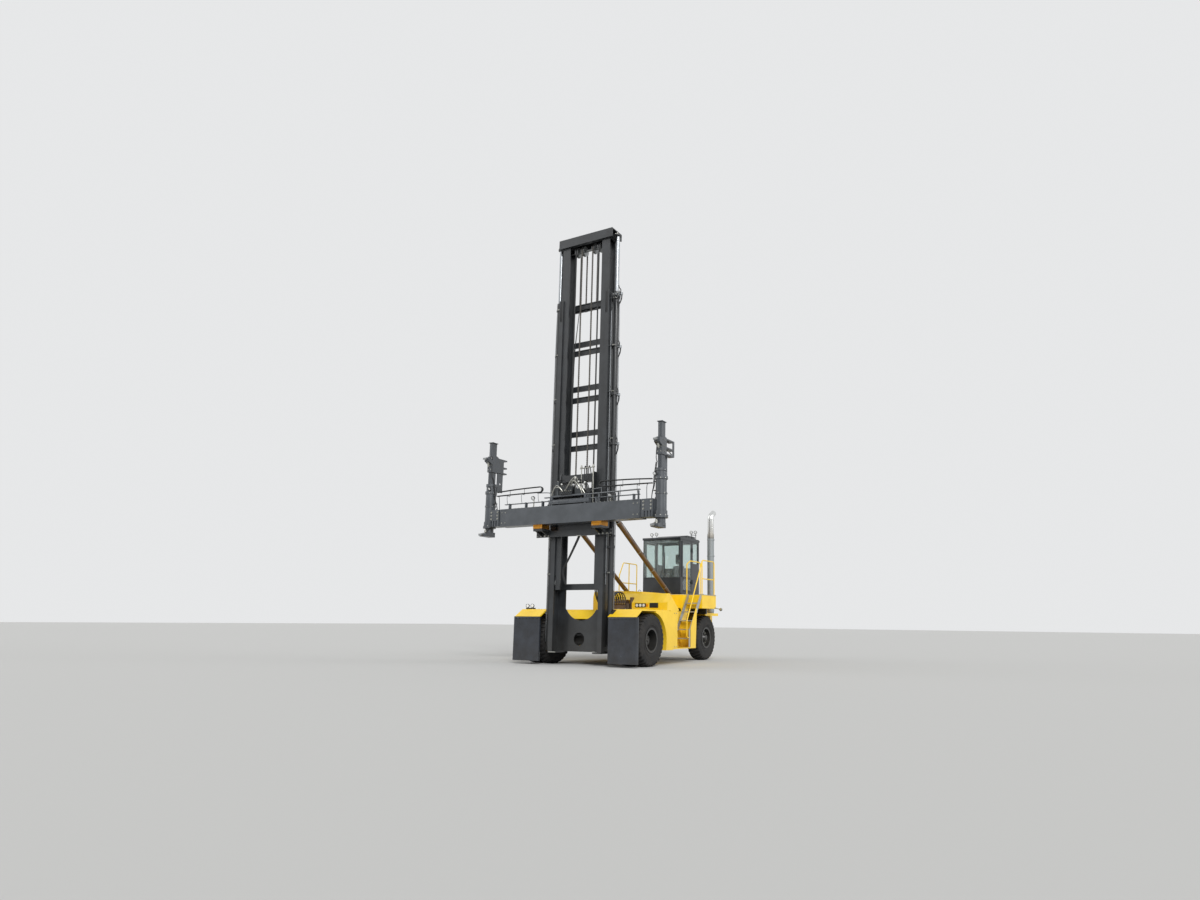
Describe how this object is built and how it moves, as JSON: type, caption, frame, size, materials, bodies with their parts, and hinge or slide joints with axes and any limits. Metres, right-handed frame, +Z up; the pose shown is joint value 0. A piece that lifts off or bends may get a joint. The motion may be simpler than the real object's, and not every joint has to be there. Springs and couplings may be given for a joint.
{
  "type": "empty container handler",
  "caption": "Mast truck that lifts empty containers by a telescopic side spreader: duplex mast, twin drive wheels, steered rear wheels, cab, stairs and opening hood.",
  "frame": {"origin": "on the ground, under the middle of the whole machine's box", "axes": "+Z up, -Y forward towards the mast and the spreader, +X to the machine's left"},
  "size_m": [6.424, 7.68, 13.2898],
  "materials": {
    "yellow_paint": "gloss",
    "charcoal_paint": "satin",
    "dark_grey_paint": "satin",
    "light_grey_paint": "satin",
    "bright_steel": "satin",
    "chrome_rod": "polished",
    "tyre_rubber": "matte",
    "tinted_glass": "clear",
    "black_plastic": "matte",
    "seat_cloth": "woven",
    "lamp_lens": "clear",
    "bronze_pad": "satin"
  },
  "bodies": {
    "chassis": {"main_frame": "dark_grey_paint", "powertrain": "dark_grey_paint", "drive_axle": "dark_grey_paint", "steer_axle": "dark_grey_paint", "mudguards": "dark_grey_paint", "fenders": "yellow_paint", "cowls": "yellow_paint", "front_lamps": "lamp_lens", "side_bodies": "yellow_paint", "platforms": "yellow_paint", "deck_plates": "light_grey_paint", "stairs": "light_grey_paint", "counterweight": "yellow_paint", "exhaust_stack": "light_grey_paint", "handrails": "yellow_paint", "cab_shell": "dark_grey_paint", "cab_glass": "tinted_glass", "seat_pads": "seat_cloth", "cab_controls": "black_plastic", "hinge_pins": "bright_steel"},
    "drive_wheels_left": {"drive_tyres_left": "tyre_rubber", "drive_rims_left": "dark_grey_paint"},
    "drive_wheels_right": {"drive_tyres_right": "tyre_rubber", "drive_rims_right": "dark_grey_paint"},
    "knuckle_left": {"steer_knuckle_left": "dark_grey_paint"},
    "knuckle_right": {"steer_knuckle_right": "dark_grey_paint"},
    "steer_wheel_left": {"steer_tyre_left": "tyre_rubber", "steer_rim_left": "dark_grey_paint"},
    "steer_wheel_right": {"steer_tyre_right": "tyre_rubber", "steer_rim_right": "dark_grey_paint"},
    "hood": {"engine_hood": "yellow_paint"},
    "door_left": {"cab_door_left": "dark_grey_paint", "door_glass_left": "tinted_glass"},
    "door_right": {"cab_door_right": "dark_grey_paint", "door_glass_right": "tinted_glass"},
    "mast": {"outer_mast": "charcoal_paint", "lift_cylinders": "charcoal_paint", "mast_rollers": "bright_steel", "chains_rear": "bright_steel"},
    "mast_inner": {"inner_mast": "charcoal_paint", "lift_rods": "chrome_rod", "chain_wheels": "dark_grey_paint"},
    "carrier": {"carriage": "charcoal_paint", "carriage_rollers": "bright_steel", "slide_pads": "bronze_pad", "chains_front": "bright_steel"},
    "spreader": {"spreader_box": "charcoal_paint", "spreader_valves": "bright_steel"},
    "side_arm_left": {"arm_left": "charcoal_paint"},
    "side_arm_right": {"arm_right": "charcoal_paint"},
    "corner_head_left": {"head_left": "charcoal_paint"},
    "corner_head_right": {"head_right": "charcoal_paint"},
    "twist_low_left": {"lock_lower_left": "bright_steel"},
    "twist_low_right": {"lock_lower_right": "bright_steel"},
    "twist_high_left": {"lock_upper_left": "bright_steel"},
    "twist_high_right": {"lock_upper_right": "bright_steel"},
    "tilt_tube_left": {"tilt_barrel_left": "dark_grey_paint"},
    "tilt_tube_right": {"tilt_barrel_right": "dark_grey_paint"},
    "tilt_piston_left": {"tilt_rod_left": "chrome_rod"},
    "tilt_piston_right": {"tilt_rod_right": "chrome_rod"}
  },
  "joints": [
    {"name": "drive_roll_left", "type": "hinge", "parent": "chassis", "child": "drive_wheels_left", "pos_m": [0, -2.16, 0.745], "axis": [1, 0, 0], "continuous": true},
    {"name": "steer_left", "type": "hinge", "parent": "chassis", "child": "knuckle_left", "pos_m": [0.95, 2.66, 0.745], "axis": [0, 0, 1], "range_deg": [-52, 52]},
    {"name": "steer_roll_left", "type": "hinge", "parent": "knuckle_left", "child": "steer_wheel_left", "pos_m": [1.335, 2.66, 0.745], "axis": [1, 0, 0], "continuous": true},
    {"name": "drive_roll_right", "type": "hinge", "parent": "chassis", "child": "drive_wheels_right", "pos_m": [0, -2.16, 0.745], "axis": [1, 0, 0], "continuous": true},
    {"name": "steer_right", "type": "hinge", "parent": "chassis", "child": "knuckle_right", "pos_m": [-0.95, 2.66, 0.745], "axis": [0, 0, 1], "range_deg": [-52, 52]},
    {"name": "steer_roll_right", "type": "hinge", "parent": "knuckle_right", "child": "steer_wheel_right", "pos_m": [-1.335, 2.66, 0.745], "axis": [1, 0, 0], "continuous": true},
    {"name": "hood_lid", "type": "hinge", "parent": "chassis", "child": "hood", "pos_m": [-0.625, -0.21, 2.194], "axis": [0, -1, 0], "range_deg": [0, 70]},
    {"name": "cab_door_left", "type": "hinge", "parent": "chassis", "child": "door_left", "pos_m": [0.767, 3.136, 3.2], "axis": [0, 0, 1], "range_deg": [0, 70]},
    {"name": "cab_door_right", "type": "hinge", "parent": "chassis", "child": "door_right", "pos_m": [-0.767, 3.136, 3.2], "axis": [0, 0, -1], "range_deg": [0, 70]},
    {"name": "mast_tilt", "type": "hinge", "parent": "chassis", "child": "mast", "pos_m": [0, -2.46, 0.6], "axis": [1, 0, 0], "range_deg": [-5, 3]},
    {"name": "tilt_swing_left", "type": "hinge", "parent": "chassis", "child": "tilt_tube_left", "pos_m": [0.78, 2.11, 1.72], "axis": [1, 0, 0], "range_deg": [-2.05, 1.31]},
    {"name": "tilt_reach_left", "type": "slide", "parent": "tilt_tube_left", "child": "tilt_piston_left", "axis": [0, -0.8558, 0.5173], "range_m": [-0.2964, 0.1795]},
    {"name": "tilt_swing_right", "type": "hinge", "parent": "chassis", "child": "tilt_tube_right", "pos_m": [-0.78, 2.11, 1.72], "axis": [1, 0, 0], "range_deg": [-2.05, 1.31]},
    {"name": "tilt_reach_right", "type": "slide", "parent": "tilt_tube_right", "child": "tilt_piston_right", "axis": [0, -0.8558, 0.5173], "range_m": [-0.2964, 0.1795]},
    {"name": "mast_lift", "type": "slide", "parent": "mast", "child": "mast_inner", "axis": [0, 0, 1], "range_m": [-1.75, 6.2], "deforming": ["chains_rear"]},
    {"name": "carriage_lift", "type": "slide", "parent": "mast_inner", "child": "carrier", "axis": [0, 0, 1], "range_m": [-1.75, 6.2], "deforming": ["chains_front"]},
    {"name": "side_shift", "type": "slide", "parent": "carrier", "child": "spreader", "axis": [1, 0, 0], "range_m": [-0.35, 0.35]},
    {"name": "arm_reach_left", "type": "slide", "parent": "spreader", "child": "side_arm_left", "axis": [1, 0, 0], "range_m": [0, 3.05]},
    {"name": "arm_reach_right", "type": "slide", "parent": "spreader", "child": "side_arm_right", "axis": [-1, 0, 0], "range_m": [0, 3.05]},
    {"name": "head_lift_left", "type": "slide", "parent": "side_arm_left", "child": "corner_head_left", "axis": [0, 0, 1], "range_m": [0, 0.305]},
    {"name": "head_lift_right", "type": "slide", "parent": "side_arm_right", "child": "corner_head_right", "axis": [0, 0, 1], "range_m": [0, 0.305]},
    {"name": "lock_low_left", "type": "hinge", "parent": "side_arm_left", "child": "twist_low_left", "pos_m": [2.9875, -3.72, 3.812], "axis": [0, 1, 0], "range_deg": [0, 90]},
    {"name": "lock_high_left", "type": "hinge", "parent": "corner_head_left", "child": "twist_high_left", "pos_m": [3.015, -3.67, 6.18], "axis": [0, 1, 0], "range_deg": [0, 90]},
    {"name": "lock_low_right", "type": "hinge", "parent": "side_arm_right", "child": "twist_low_right", "pos_m": [-2.9875, -3.72, 3.812], "axis": [0, 1, 0], "range_deg": [0, 90]},
    {"name": "lock_high_right", "type": "hinge", "parent": "corner_head_right", "child": "twist_high_right", "pos_m": [-3.015, -3.67, 6.18], "axis": [0, 1, 0], "range_deg": [0, 90]}
  ],
  "couplings": [
    {"joint": "steer_right", "follows": "steer_left", "ratio": 1},
    {"joint": "tilt_swing_left", "follows": "mast_tilt", "ratio": 0.3693},
    {"joint": "tilt_swing_right", "follows": "mast_tilt", "ratio": 0.3693},
    {"joint": "tilt_reach_left", "follows": "mast_tilt", "m_per_rad": 3.351},
    {"joint": "tilt_reach_right", "follows": "mast_tilt", "m_per_rad": 3.351},
    {"joint": "carriage_lift", "follows": "mast_lift", "ratio": 1},
    {"joint": "arm_reach_right", "follows": "arm_reach_left", "ratio": 1}
  ]
}
